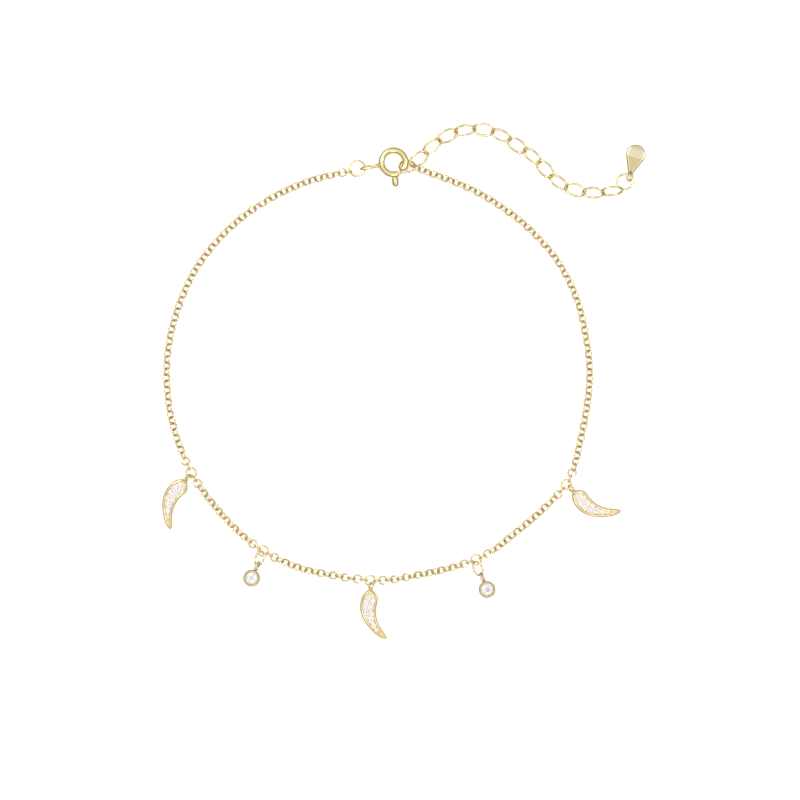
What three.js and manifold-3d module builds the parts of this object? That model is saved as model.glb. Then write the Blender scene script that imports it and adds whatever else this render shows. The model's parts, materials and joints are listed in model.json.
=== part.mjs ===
// Charm anklet, lying as it is laid down: a fine round-link chain with three pavé horn
// charms and two bezel-set drops, a spring-ring clasp and an oval-link extender with a tag.
// Millimetres, +Z up, origin at the middle of its outline on the surface that it lies on.
import * as THREE from 'three';
import { mergeVertices } from 'three/addons/utils/BufferGeometryUtils.js';
import Module from 'manifold-3d';

const wasm = await Module();
wasm.setup();

const fullTurn = Math.PI * 2;
const radians = THREE.MathUtils.degToRad;

// The loop: its middle, and its radius at every tenth degree, counter-clockwise from +X
const loopMiddleX = -4.05;
const loopMiddleY = 1.72;
const loopRadii = [
  31.7, 31.58, 31.67, 31.56, 31.23, 30.84, 30.62, 30.54, 30.75, 31.0, 30.2, 30.24,
  30.38, 30.66, 30.93, 31.23, 31.37, 31.52, 31.68, 31.73, 31.77, 31.84, 31.74, 31.88,
  31.95, 31.67, 31.28, 31.4, 31.16, 31.42, 31.95, 31.8, 32.22, 32.95, 32.13, 31.76,
];

// Move that brings the middle of the whole outline to the origin
const shiftX = 0.152;
const shiftY = -0.189;

// Main chain
const chainLink = 1.38;
const chainWire = 0.24;
const chainTube = 1.24;
const tubeStep = 3.0;
const tubeSides = 8;

// Rings in the chain that carry the drops, and the play left in every join
const stationRing = 1.75;
const stationWire = 0.25;
const joinPlay = 0.07;
const stations = [
  { name: 'ring_left_horn', angle: 208.6 },
  { name: 'ring_left_drop', angle: 237.5 },
  { name: 'ring_centre_horn', angle: 267.9 },
  { name: 'ring_right_drop', angle: 297.5 },
  { name: 'ring_right_horn', angle: 328.9 },
];

// Facets of round wire and round rings
const wireSides = 6;
const ringSides = 12;

// Horn charms
const hornLength = 7.65;
const hornThick = 1.1;
const hornEdge = 0.1;
const hornRim = 0.34;
const hornField = 0.7;
const hornFieldEnd = 0.86;
const hornBail = 1.4;
const hornBailWire = 0.26;
const hornBailTurn = 60;
const hornBailRoll = -65;
const hornNeck = 0.5;

// Outline of a horn, clockwise from its top, as shares of its length: across and along
const hornOutline = [
  { across: 0.0, along: 0.0 },
  { across: 0.064, along: -0.068 },
  { across: 0.09, along: -0.185 },
  { across: 0.057, along: -0.27 },
  { across: -0.005, along: -0.375 },
  { across: -0.047, along: -0.5 },
  { across: -0.059, along: -0.62 },
  { across: -0.047, along: -0.745 },
  { across: -0.012, along: -0.86 },
  { across: 0.014, along: -0.965 },
  { across: -0.012, along: -1.0 },
  { across: -0.075, along: -0.968 },
  { across: -0.15, along: -0.885 },
  { across: -0.225, along: -0.757 },
  { across: -0.288, along: -0.6 },
  { across: -0.318, along: -0.44 },
  { across: -0.305, along: -0.29 },
  { across: -0.262, along: -0.175 },
  { across: -0.19, along: -0.068 },
  { across: -0.09, along: -0.008 },
];

// Stones of a horn, as shares of its length: middle across and along, and diameter
const hornStones = [
  { across: -0.075, along: -0.117, size: 0.112 },
  { across: -0.158, along: -0.205, size: 0.118 },
  { across: -0.03, along: -0.225, size: 0.118 },
  { across: -0.205, along: -0.325, size: 0.118 },
  { across: -0.087, along: -0.345, size: 0.112 },
  { across: -0.224, along: -0.445, size: 0.112 },
  { across: -0.115, along: -0.458, size: 0.1 },
  { across: -0.17, along: -0.56, size: 0.125 },
  { across: -0.16, along: -0.685, size: 0.115 },
  { across: -0.128, along: -0.796, size: 0.1 },
];

// Where each horn hangs from its ring, and how far it is turned
const horns = [
  { name: 'left', station: 0, hangs: 231, reach: 1.44, turn: -16.7 },
  { name: 'centre', station: 2, hangs: 270, reach: 1.43, turn: 18.3 },
  { name: 'right', station: 4, hangs: 315, reach: 1.5, turn: 67.8 },
];

// Bezel-set drops
const cupWide = 2.5;
const cupHigh = 1.25;
const cupWall = 0.26;
const dropStone = 1.96;
const dropBail = 1.8;
const dropBailWide = 1.5;
const dropBailWire = 0.26;
const hangRingLong = 2.4;
const hangRingWide = 1.95;
const hangRingWire = 0.24;
const hangRingRoll = 40;
const drops = [
  {
    name: 'left',
    station: 1,
    reachTurn: 244,
    ringTurn: 250,
    ringSlack: 0.27,
    bailTurn: 252,
    bailSlack: 0.27,
    cupTurn: 245,
  },
  {
    name: 'right',
    station: 3,
    reachTurn: 281,
    ringTurn: 290,
    ringSlack: 0.17,
    bailTurn: 295.5,
    bailSlack: 0.04,
    cupTurn: 292,
  },
];

// Stones: shares of the diameter, and the gap between a stone and its seat
const tableShare = 0.56;
const crownShare = 0.15;
const girdleShare = 0.04;
const pavilionShare = 0.4;
const stoneGap = 0.03;
const stoneRise = 0.03;
const hornStoneSides = 8;
const dropStoneSides = 12;

// Spring-ring clasp
const claspX = -1.72;
const claspY = 32.94;
const claspZ = 0.82;
const claspRing = 4.5;
const claspTube = 0.9;
const claspWall = 0.16;
const claspCollar = 1.08;
const collarTurn = 18;
const gapFrom = -68;
const gapTo = -35;
const tipInto = 6;
const tipPocket = 10;
const boltWire = 0.44;
const boltTail = 31;
const boltTravel = 42;
const knobAngle = -85;
const knobWide = 0.98;
const knobReach = 1.35;
const knobNeck = 0.28;
const knobGap = 0.06;
const slotPlay = 0.05;
const claspLoopLong = 3.15;
const claspLoopWide = 1.4;
const claspLoopWire = 0.4;
const claspLoopTurn = 191.4;
const claspLoopRoll = 72;
const solderDepth = 0.25;

// Jump rings at the clasp: the left one joins its loop, the right one is caught in it
const jumpRing = 2.64;
const jumpWire = 0.28;
const leftRingTurn = 186.5;
const leftRingPitch = 0;
const leftRingZ = 0.82;
const rightRingTurn = -17;
const rightRingReach = 2.12;
const rightRingZ = 0.857;
const rightRingPitch = 13;
const rightRingRoll = -35;
const rightEndTurn = -9;
const rightEndRise = 0.12;
const rightEndRoll = 45;
const leftEndTurn = 201.5;

// Extender chain: oval links along a route, its points counted in links from the first link's middle
const extenderLong = 3.36;
const extenderWide = 2.25;
const extenderWire = 0.32;
const extenderLinks = 13;
const extenderBite = 0.05;
const extenderRoll = 35;
const lastLinkRoll = 55;
const firstLinkTurn = 33;
const firstLinkStart = 0.58;
const firstLinkHeading = 34;
const extenderRoute = [
  { x: 0.014, y: 0.045 },
  { x: 0.747, y: 0.713 },
  { x: 1.487, y: 1.218 },
  { x: 2.372, y: 1.532 },
  { x: 3.328, y: 1.597 },
  { x: 4.267, y: 1.363 },
  { x: 5.332, y: 0.713 },
  { x: 6.216, y: 0.088 },
  { x: 6.895, y: -0.623 },
  { x: 7.606, y: -1.291 },
  { x: 8.545, y: -1.706 },
  { x: 9.538, y: -1.832 },
  { x: 10.404, y: -1.753 },
  { x: 11.235, y: -1.34 },
];

// Tag and the ring that carries it
const tagRingZ = 0.54;
const tagRingSide = 36;
const tagRingTurn = 30;
const tagRingRoll = -12;
const tagReach = 1.04;
const tagReachTurn = 46;
const tagTurn = -16;
const tagHead = 2.9;
const tagLong = 4.45;
const tagNeck = 0.6;
const tagThick = 0.46;
const tagLoop = 1.42;
const tagLoopWire = 0.3;
const tagLoopRoll = 34;
const tagLoopZ = 0.52;

// Heights that the sizes above give
const chainHeight = (chainTube / 2) * Math.cos(Math.PI / tubeSides);
const ringHeight = chainLink / 2;

const gold = () => new THREE.MeshStandardMaterial({ color: 0xe9c877, roughness: 0.2, metalness: 1 });
const paleGold = () => new THREE.MeshStandardMaterial({ color: 0xdfc58d, roughness: 0.32, metalness: 1 });
const crystal = () => new THREE.MeshStandardMaterial({ color: 0xf2f2f7, roughness: 0.03, metalness: 0 });

// Closed solid from a three.js geometry
function solid(geometry, matrix) {
  const bare = geometry.clone();
  bare.deleteAttribute('normal');
  bare.deleteAttribute('uv');
  if (matrix) bare.applyMatrix4(matrix);
  const merged = mergeVertices(bare, 1e-4);
  const index = merged.index.array;
  const kept = [];
  for (let i = 0; i < index.length; i += 3) {
    const [a, b, c] = [index[i], index[i + 1], index[i + 2]];
    if (a !== b && b !== c && c !== a) kept.push(a, b, c);
  }
  const mesh = new wasm.Mesh({
    numProp: 3,
    vertProperties: new Float32Array(merged.attributes.position.array),
    triVerts: new Uint32Array(kept),
  });
  return new wasm.Manifold(mesh);
}

function geometryOf(body) {
  const mesh = body.getMesh();
  const geometry = new THREE.BufferGeometry();
  geometry.setAttribute('position', new THREE.BufferAttribute(new Float32Array(mesh.vertProperties), 3));
  geometry.setIndex(new THREE.BufferAttribute(new Uint32Array(mesh.triVerts), 1));
  geometry.computeVertexNormals();
  return geometry;
}

function joined(bodies) {
  return bodies.reduce((whole, body) => whole.add(body));
}

function cut(body, tools) {
  return tools.reduce((whole, tool) => whole.subtract(tool), body);
}

// Heading, pitch and roll of a ring: its long axis points along the heading
function turned(heading, pitch, roll) {
  return new THREE.Euler(radians(roll), -radians(pitch), radians(heading), 'ZYX');
}

function placement(place, heading = 0, pitch = 0, roll = 0) {
  const turn = new THREE.Quaternion().setFromEuler(turned(heading, pitch, roll));
  return new THREE.Matrix4().compose(place, turn, new THREE.Vector3(1, 1, 1));
}

function named(name, geometry, material) {
  const mesh = new THREE.Mesh(geometry, material);
  mesh.name = name;
  return mesh;
}

function bearing(from, heading, distance) {
  const angle = radians(heading);
  return new THREE.Vector3(
    from.x + Math.cos(angle) * distance,
    from.y + Math.sin(angle) * distance,
    from.z,
  );
}

// A ring or oval link of round wire, lying flat, its long axis along X
function linkGeometry(long, wide, wire) {
  const geometry = new THREE.TorusGeometry(1, 0.5, wireSides, ringSides);
  const place = geometry.attributes.position;
  const halfLong = (long - wire) / 2;
  const halfWide = (wide - wire) / 2;
  let index = 0;
  for (let j = 0; j <= wireSides; j += 1) {
    const round = (j / wireSides) * fullTurn;
    for (let i = 0; i <= ringSides; i += 1) {
      const angle = (i / ringSides) * fullTurn;
      const outward = new THREE.Vector2(halfWide * Math.cos(angle), halfLong * Math.sin(angle)).normalize();
      const off = (wire / 2) * Math.cos(round);
      place.setXYZ(
        index,
        halfLong * Math.cos(angle) + outward.x * off,
        halfWide * Math.sin(angle) + outward.y * off,
        (wire / 2) * Math.sin(round),
      );
      index += 1;
    }
  }
  return geometry;
}

// A part of a circle in the XY plane, in degrees, as a path
class ArcPath extends THREE.Curve {
  constructor(radius, from, to) {
    super();
    this.radius = radius;
    this.from = radians(from);
    this.to = radians(to);
  }

  getPoint(share, target = new THREE.Vector3()) {
    const angle = this.from + (this.to - this.from) * share;
    return target.set(Math.cos(angle) * this.radius, Math.sin(angle) * this.radius, 0);
  }
}

function roundSection(radius, sides) {
  const corners = [];
  for (let i = 0; i < sides; i += 1) {
    const angle = ((i + 0.5) / sides) * fullTurn;
    corners.push(new THREE.Vector2(Math.cos(angle) * radius, Math.sin(angle) * radius));
  }
  return new THREE.Shape(corners);
}

function tubeAlong(path, radius, sides, steps) {
  return new THREE.ExtrudeGeometry(roundSection(radius, sides), {
    steps,
    bevelEnabled: false,
    extrudePath: path,
  });
}

function arcTube(radius, wire, from, to, sides = 12) {
  const steps = Math.max(2, Math.round(Math.abs(to - from) / 12));
  return tubeAlong(new ArcPath(radius, from, to), wire / 2, sides, steps);
}

// The loop's route: a smooth closed curve through the radii
function loopPoint(angle, height) {
  const count = loopRadii.length;
  const row = (((angle % 360) + 360) % 360) / (360 / count);
  const first = Math.floor(row);
  const near = [-1, 0, 1, 2].map((k) => loopRadii[(first + k + count) % count]);
  const share = row - first;
  const radius = catmull(near, share);
  return new THREE.Vector3(
    loopMiddleX + Math.cos(radians(angle)) * radius,
    loopMiddleY + Math.sin(radians(angle)) * radius,
    height,
  );
}

function catmull([a, b, c, d], t) {
  const slopeB = (c - a) / 2;
  const slopeC = (d - b) / 2;
  const t2 = t * t;
  const t3 = t2 * t;
  return (2 * t3 - 3 * t2 + 1) * b + (t3 - 2 * t2 + t) * slopeB + (3 * t2 - 2 * t3) * c + (t3 - t2) * slopeC;
}

function loopAngle(point) {
  const angle = THREE.MathUtils.radToDeg(Math.atan2(point.y - loopMiddleY, point.x - loopMiddleX));
  return (angle + 360) % 360;
}

// A round cut stone: table, crown, girdle and pointed pavilion, girdle at z 0
function stoneGeometry(size, sides) {
  const radius = size / 2;
  const profile = [
    new THREE.Vector2(0, -(girdleShare / 2 + pavilionShare) * size),
    new THREE.Vector2(radius, (-girdleShare / 2) * size),
    new THREE.Vector2(radius, (girdleShare / 2) * size),
    new THREE.Vector2(tableShare * radius, (girdleShare / 2 + crownShare) * size),
    new THREE.Vector2(0, (girdleShare / 2 + crownShare) * size),
  ];
  return new THREE.LatheGeometry(profile, sides).rotateX(Math.PI / 2);
}

// The hollow that a stone sits in: its own shape with a gap, open above
function seatGeometry(size, sides, rise) {
  const radius = size / 2 + stoneGap;
  const depth = (girdleShare / 2 + pavilionShare) * size + stoneGap;
  const profile = [
    new THREE.Vector2(0, -depth),
    new THREE.Vector2(radius, (-girdleShare / 2) * size - stoneGap),
    new THREE.Vector2(radius, rise),
    new THREE.Vector2(0, rise),
  ];
  return new THREE.LatheGeometry(profile, sides).rotateX(Math.PI / 2);
}

// Horn outline in millimetres, smoothed through its rows
function hornPoints() {
  const rows = hornOutline.map(
    (row) => new THREE.Vector3(row.across * hornLength, row.along * hornLength, 0),
  );
  const curve = new THREE.CatmullRomCurve3(rows, true, 'centripetal');
  return curve.getPoints(rows.length * 2).slice(0, -1).map((point) => new THREE.Vector2(point.x, point.y));
}

// An outline moved inward, without the points that come too near another edge
function inset(points, distance) {
  const count = points.length;
  const moved = points.map((point, i) => {
    const before = points[(i + count - 1) % count];
    const after = points[(i + 1) % count];
    const along = after.clone().sub(before).normalize();
    return new THREE.Vector2(point.x + along.y * distance, point.y - along.x * distance);
  });
  const edgeGap = (spot) => Math.min(
    ...points.map((point, i) => spotToEdge(spot, point, points[(i + 1) % count])),
  );
  return moved.filter((spot) => edgeGap(spot) > distance * 0.97);
}

function spotToEdge(spot, from, to) {
  const edge = to.clone().sub(from);
  const share = THREE.MathUtils.clamp(spot.clone().sub(from).dot(edge) / edge.lengthSq(), 0, 1);
  return spot.distanceTo(from.clone().addScaledVector(edge, share));
}

function hornSetting() {
  const outline = hornPoints();
  const plate = new THREE.ExtrudeGeometry(new THREE.Shape(outline), {
    depth: hornThick - 2 * hornEdge,
    bevelThickness: hornEdge,
    bevelSize: hornEdge,
    bevelOffset: -hornEdge,
    bevelSegments: 1,
  }).translate(0, 0, hornEdge);
  const fieldOutline = inset(outline, hornRim).filter((spot) => spot.y > -hornFieldEnd * hornLength);
  const field = new THREE.ExtrudeGeometry(new THREE.Shape(fieldOutline), {
    depth: hornThick,
    bevelEnabled: false,
  }).translate(0, 0, hornField);
  const seats = hornStones.map((row) => solid(
    seatGeometry(row.size * hornLength, hornStoneSides, hornThick),
    placement(stonePlace(row)),
  ));
  const bailFoot = new THREE.Vector3(0, 0, hornBail / 2 + 0.01);
  const bailPlace = bearing(bailFoot, hornBailTurn, hornBail / 2 - solderDepth / 2);
  const bail = linkGeometry(hornBail, hornBail, hornBailWire);
  const neck = new THREE.SphereGeometry(hornNeck / 2, 8, 4);
  return joined([
    cut(solid(plate), [solid(field), ...seats]),
    solid(neck, placement(new THREE.Vector3(0, 0, ringHeight))),
    solid(bail, placement(bailPlace, hornBailTurn, 0, hornBailRoll)),
  ]);
}

function stonePlace(row) {
  return new THREE.Vector3(row.across * hornLength, row.along * hornLength, hornField + stoneRise);
}

// The horn's top lies at the end of its bail; the bail points at the ring that carries it
function hornCharm(charm) {
  const ring = stationPlace(charm.station);
  const group = new THREE.Group();
  const top = bearing(ring, charm.hangs, charm.reach);
  group.position.set(top.x, top.y, 0);
  group.rotation.z = radians(charm.turn);
  group.add(named(`horn_${charm.name}`, geometryOf(hornSetting()), gold()));
  hornStones.forEach((row, i) => {
    const stone = named(
      `stone_${charm.name}_${i + 1}`,
      stoneGeometry(row.size * hornLength, hornStoneSides),
      crystal(),
    );
    stone.position.copy(stonePlace(row));
    group.add(stone);
  });
  return group;
}

// Bezel cup with its bail soldered on, the cup's middle at the origin
function bezelCup(bailHeading) {
  const radius = cupWide / 2;
  const mouth = dropStone / 2 + stoneGap;
  const girdle = cupHigh - crownShare * dropStone - 0.08;
  const depth = (girdleShare / 2 + pavilionShare) * dropStone + stoneGap;
  const profile = [
    new THREE.Vector2(0, 0),
    new THREE.Vector2(radius - 0.3, 0),
    new THREE.Vector2(radius - 0.06, 0.4),
    new THREE.Vector2(radius, cupHigh - 0.15),
    new THREE.Vector2(radius - 0.08, cupHigh),
    new THREE.Vector2(radius - cupWall + 0.04, cupHigh),
    new THREE.Vector2(mouth, cupHigh - 0.12),
    new THREE.Vector2(mouth, girdle - girdleShare * dropStone - stoneGap),
    new THREE.Vector2(0, girdle - depth),
  ];
  const cup = new THREE.LatheGeometry(profile, 18).rotateX(Math.PI / 2);
  const reach = radius + dropBail / 2 - solderDepth;
  const bail = linkGeometry(dropBail, dropBailWide, dropBailWire);
  const bailPlace = bearing(new THREE.Vector3(0, 0, dropBailWide / 2 + 0.01), bailHeading, reach);
  return { body: joined([solid(cup), solid(bail, placement(bailPlace, bailHeading, 0, 75))]), girdle, reach };
}

function bezelDrop(drop) {
  const group = new THREE.Group();
  const ring = stationPlace(drop.station);
  const ringHalf = (stationRing - stationWire) / 2;
  const hangHalf = (hangRingLong - hangRingWire) / 2;
  const bailHalf = (dropBail - dropBailWire) / 2;
  const firstReach = ringHalf + hangHalf - (stationWire + hangRingWire) / 2 - joinPlay - drop.ringSlack;
  const secondReach = hangHalf + bailHalf - (hangRingWire + dropBailWire) / 2 - joinPlay - drop.bailSlack;
  const hangPlace = bearing(ring, drop.reachTurn, firstReach);
  const bailPlace = bearing(hangPlace, drop.bailTurn, secondReach);
  const bailHeading = drop.cupTurn + 180;
  const { body, girdle, reach } = bezelCup(bailHeading);
  const cupPlace = bearing(bailPlace, drop.cupTurn, reach);
  const hang = named(
    `ring_${drop.name}_hanging`,
    linkGeometry(hangRingLong, hangRingWide, hangRingWire),
    gold(),
  );
  hang.position.copy(hangPlace);
  hang.rotation.copy(turned(drop.ringTurn, 0, hangRingRoll));
  group.add(hang);
  const cup = named(`bezel_${drop.name}`, geometryOf(body), gold());
  cup.position.set(cupPlace.x, cupPlace.y, 0);
  group.add(cup);
  const stone = named(`stone_${drop.name}_drop`, stoneGeometry(dropStone, dropStoneSides), crystal());
  stone.position.set(cupPlace.x, cupPlace.y, girdle);
  group.add(stone);
  return group;
}

function stationPlace(index) {
  return loopPoint(stations[index].angle, ringHeight);
}

function stationRings() {
  return stations.map((station, i) => {
    const ring = named(station.name, linkGeometry(stationRing, stationRing, stationWire), gold());
    ring.position.copy(stationPlace(i));
    return ring;
  });
}

// Reach from the middle of a ring of wire to the middle of the chain link that holds it
function linkReach(ring, wire) {
  return (ring - wire) / 2 + (chainLink - chainWire) / 2 - (wire + chainWire) / 2 - joinPlay;
}

// An end of a stretch of chain at a ring in the loop
function stationEnd(index, side) {
  const place = stationPlace(index);
  const reach = linkReach(stationRing, stationWire);
  const turn = THREE.MathUtils.radToDeg(reach / loopRadii[0]) * side;
  const link = loopPoint(stations[index].angle + turn, ringHeight);
  const heading = THREE.MathUtils.radToDeg(Math.atan2(link.y - place.y, link.x - place.x));
  return { link, heading, roll: 90 };
}

// A stretch of chain: a tube along the loop, with the real links that hold its ends
function chainStretch(name, start, end) {
  const from = loopAngle(start.link);
  const to = loopAngle(end.link) + (loopAngle(end.link) < from ? 360 : 0);
  const radius = loopRadii[0];
  const inTurn = THREE.MathUtils.radToDeg((chainLink * 1.1) / radius);
  const steps = Math.max(4, Math.round((radians(to - from) * radius) / tubeStep));
  const points = [tubeStart(start)];
  for (let i = 0; i <= steps - 2; i += 1) {
    points.push(loopPoint(from + inTurn + ((to - from - 2 * inTurn) * i) / (steps - 2), chainHeight));
  }
  points.push(tubeStart(end));
  const path = new THREE.CatmullRomCurve3(points, false, 'centripetal');
  const tube = solid(tubeAlong(path, chainTube / 2, tubeSides, steps + 2));
  const links = [start, end].map((side) => solid(
    linkGeometry(chainLink, chainLink, chainWire),
    placement(side.link, side.heading, 0, side.roll),
  ));
  return named(name, geometryOf(joined([tube, ...links])), gold());
}

// The tube begins inside the far side of its end link, clear of the ring in that link
function tubeStart(end) {
  const start = bearing(end.link, end.heading, chainLink / 2 - chainWire);
  start.z = chainHeight;
  return start;
}

function jumpReach() {
  return linkReach(jumpRing, jumpWire);
}

function claspPlace() {
  return new THREE.Vector3(claspX, claspY, claspZ);
}

function claspLoopReach() {
  return claspRing / 2 + claspLoopLong / 2 - solderDepth;
}

function leftRingPlace() {
  const loop = bearing(claspPlace(), claspLoopTurn, claspLoopReach());
  const reach = (jumpRing - jumpWire) / 2 + (claspLoopLong - claspLoopWire) / 2
    - (jumpWire + claspLoopWire) / 2 - 4 * joinPlay;
  const place = bearing(loop, leftRingTurn, reach);
  place.z = leftRingZ;
  return place;
}

function rightRingPlace() {
  const place = bearing(claspPlace(), rightRingTurn, rightRingReach);
  place.z = rightRingZ;
  return place;
}

function leftJumpRing() {
  const ring = named('jump_ring_left', linkGeometry(jumpRing, jumpRing, jumpWire), gold());
  ring.position.copy(leftRingPlace());
  ring.rotation.copy(turned(leftRingTurn, leftRingPitch, 0));
  return ring;
}

function rightJumpRing() {
  const ring = named('jump_ring_right', linkGeometry(jumpRing, jumpRing, jumpWire), gold());
  ring.position.copy(rightRingPlace());
  ring.rotation.copy(turned(rightRingTurn, rightRingPitch, rightRingRoll));
  return ring;
}

function leftChainEnd() {
  const link = bearing(leftRingPlace(), leftEndTurn, jumpReach());
  link.z = leftRingZ;
  return { link, heading: leftEndTurn, roll: 90 };
}

function rightChainEnd() {
  const link = bearing(rightRingPlace(), rightEndTurn, jumpReach());
  link.z = rightRingZ + rightEndRise;
  return { link, heading: rightEndTurn, roll: rightEndRoll };
}

function mainChain() {
  const last = stations.length - 1;
  const stretches = [chainStretch('chain_left_side', leftChainEnd(), stationEnd(0, -1))];
  const between = ['chain_left', 'chain_centre_left', 'chain_centre_right', 'chain_right'];
  between.forEach((name, i) => stretches.push(chainStretch(name, stationEnd(i, 1), stationEnd(i + 1, -1))));
  stretches.push(chainStretch('chain_right_side', stationEnd(last, 1), rightChainEnd()));
  return stretches;
}

// Hollow tube of the clasp with its slot for the knob, and the loop soldered to it
function claspBody() {
  const radius = (claspRing - claspTube) / 2;
  const bore = claspTube - 2 * claspWall;
  const neckHalf = THREE.MathUtils.radToDeg((knobNeck / 2 + slotPlay) / radius);
  const tube = solid(arcTube(radius, claspTube, gapTo, 360 + gapFrom));
  const collar = solid(arcTube(radius, claspCollar, gapTo, gapTo + collarTurn));
  const channelEnd = knobAngle - boltTail - boltTravel - 5;
  const channel = solid(arcTube(radius, bore, gapFrom + 4, channelEnd));
  const pocket = solid(arcTube(radius, bore, gapTo - 4, gapTo + tipPocket));
  const slotStart = knobAngle - boltTravel - neckHalf;
  const slot = ringSector(radius, claspRing / 2 + 0.2, slotStart, knobAngle + neckHalf);
  const slotHigh = knobNeck + 2 * slotPlay;
  const slotCut = new THREE.ExtrudeGeometry(slot, { depth: slotHigh, bevelEnabled: false, curveSegments: 6 });
  const loopPlace = bearing(new THREE.Vector3(), claspLoopTurn, claspLoopReach());
  const loop = linkGeometry(claspLoopLong, claspLoopWide, claspLoopWire);
  const body = joined([
    cut(tube.add(collar), [channel, pocket, solid(slotCut.translate(0, 0, -slotHigh / 2))]),
    solid(loop, placement(loopPlace, claspLoopTurn, 0, claspLoopRoll)),
  ]);
  const mesh = named('clasp_body', geometryOf(body), gold());
  mesh.position.copy(claspPlace());
  return mesh;
}

function ringSector(inner, outer, from, to) {
  const shape = new THREE.Shape();
  shape.absarc(0, 0, outer, radians(from), radians(to), false);
  shape.absarc(0, 0, inner, radians(to), radians(from), true);
  shape.closePath();
  return shape;
}

// Bolt that closes the clasp, with the knob that draws it back
function claspBolt() {
  const radius = (claspRing - claspTube) / 2;
  const knobFrom = claspRing / 2 + knobGap;
  const bolt = solid(arcTube(radius, boltWire, knobAngle - boltTail, gapTo + tipInto, 10));
  const profile = [
    new THREE.Vector2(0, radius),
    new THREE.Vector2(knobNeck / 2, radius),
    new THREE.Vector2(knobNeck / 2, knobFrom),
    new THREE.Vector2(knobWide * 0.4, knobFrom),
    new THREE.Vector2(knobWide / 2, knobFrom + 0.25),
    new THREE.Vector2(knobWide / 2, knobFrom + knobReach - knobWide * 0.42),
    new THREE.Vector2(knobWide * 0.36, knobFrom + knobReach - knobWide * 0.14),
    new THREE.Vector2(0, knobFrom + knobReach),
  ];
  const knob = solid(
    new THREE.LatheGeometry(profile, 10).rotateZ(-Math.PI / 2),
    placement(new THREE.Vector3(), knobAngle),
  );
  const mesh = named('clasp_bolt', geometryOf(joined([bolt, knob])), gold());
  mesh.position.copy(claspPlace());
  return mesh;
}

// Middles and headings of the extender's links, stepped along its route
function extenderPlaces() {
  const route = extenderRoute.map((point) => new THREE.Vector3(point.x, point.y, 0));
  const curve = new THREE.CatmullRomCurve3(route, false, 'centripetal');
  const pitch = extenderLong - 2 * extenderWire + extenderBite;
  const firstReach = firstLinkStart + (extenderLong - extenderWire) / 2;
  const first = bearing(rightRingPlace(), firstLinkTurn, firstReach);
  first.z = 0;
  const spots = curve.getSpacedPoints(800).map((spot) => spot.multiplyScalar(pitch).add(first));
  const places = [first];
  let index = 0;
  while (places.length < extenderLinks) {
    const last = places[places.length - 1];
    while (index < spots.length - 1 && spots[index].distanceTo(last) < pitch) index += 1;
    const ahead = spots[index].clone().sub(last).normalize();
    places.push(last.clone().addScaledVector(ahead, pitch));
  }
  places.forEach((place, i) => place.setZ(linkHeight(extenderRollAt(i))));
  return places;
}

function extenderRollAt(index) {
  if (index === extenderLinks - 1) return lastLinkRoll;
  return index % 2 ? -extenderRoll : extenderRoll;
}

// Height of a rolled extender link that rests on its lower side
function linkHeight(roll) {
  return ((extenderWide - extenderWire) / 2) * Math.abs(Math.sin(radians(roll))) + extenderWire / 2;
}

function headingAt(places, index) {
  const before = places[Math.max(0, index - 1)];
  const after = places[Math.min(places.length - 1, index + 1)];
  return THREE.MathUtils.radToDeg(Math.atan2(after.y - before.y, after.x - before.x));
}

function extenderChain() {
  const places = extenderPlaces();
  const links = places.map((place, i) => solid(
    linkGeometry(extenderLong, extenderWide, extenderWire),
    placement(place, i === 0 ? firstLinkHeading : headingAt(places, i), 0, extenderRollAt(i)),
  ));
  return named('extender_chain', geometryOf(joined(links)), gold());
}

function tagRingPlace() {
  const places = extenderPlaces();
  const last = places[places.length - 1];
  const reach = (extenderLong - extenderWire) / 2 + (jumpRing - jumpWire) / 2
    - (extenderWire + jumpWire) / 2;
  const place = bearing(last, tagRingSide, reach);
  place.z = tagRingZ;
  return place;
}

function tagJumpRing() {
  const ring = named('jump_ring_tag', linkGeometry(jumpRing, jumpRing, jumpWire), gold());
  ring.position.copy(tagRingPlace());
  ring.rotation.copy(turned(tagRingTurn, 0, tagRingRoll));
  return ring;
}

// Teardrop tag lying flat, its loop at the narrow end; its own Y runs from the loop to the head
function tag() {
  const radius = tagHead / 2;
  const middle = tagLong - radius;
  const slope = Math.asin((radius - tagNeck / 2) / middle);
  const outline = new THREE.Shape();
  outline.moveTo(tagNeck / 2, 0);
  outline.lineTo(Math.cos(slope) * radius, middle - Math.sin(slope) * radius);
  outline.absarc(0, middle, radius, -slope, Math.PI + slope, false);
  outline.lineTo(-tagNeck / 2, 0);
  outline.closePath();
  const plate = new THREE.ExtrudeGeometry(outline, {
    depth: tagThick - 0.12,
    bevelThickness: 0.06,
    bevelSize: 0.06,
    bevelOffset: -0.06,
    bevelSegments: 1,
    curveSegments: 16,
  }).translate(0, 0, 0.06);
  const loopPlace = new THREE.Vector3(0, -(tagLoop / 2) + tagLoopWire / 2 + 0.04, tagLoopZ);
  const loop = linkGeometry(tagLoop, tagLoop, tagLoopWire);
  const body = joined([solid(plate), solid(loop, placement(loopPlace, 90, 0, tagLoopRoll))]);
  const mesh = named('tag', geometryOf(body), paleGold());
  const hold = bearing(tagRingPlace(), tagReachTurn, tagReach);
  const back = bearing(new THREE.Vector3(hold.x, hold.y, 0), 90 + tagTurn, -loopPlace.y);
  mesh.position.copy(back);
  mesh.rotation.z = radians(tagTurn);
  return mesh;
}

const anklet = new THREE.Group();
anklet.add(...mainChain());
anklet.add(...stationRings());
horns.forEach((charm) => anklet.add(hornCharm(charm)));
drops.forEach((drop) => anklet.add(bezelDrop(drop)));
anklet.add(leftJumpRing(), rightJumpRing(), claspBody(), claspBolt());
anklet.add(extenderChain(), tagJumpRing(), tag());
anklet.position.set(shiftX, shiftY, 0);

export default anklet;
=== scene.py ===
import json
import math
import random

import bmesh
import bpy
from mathutils import Euler, Matrix, Vector

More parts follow.
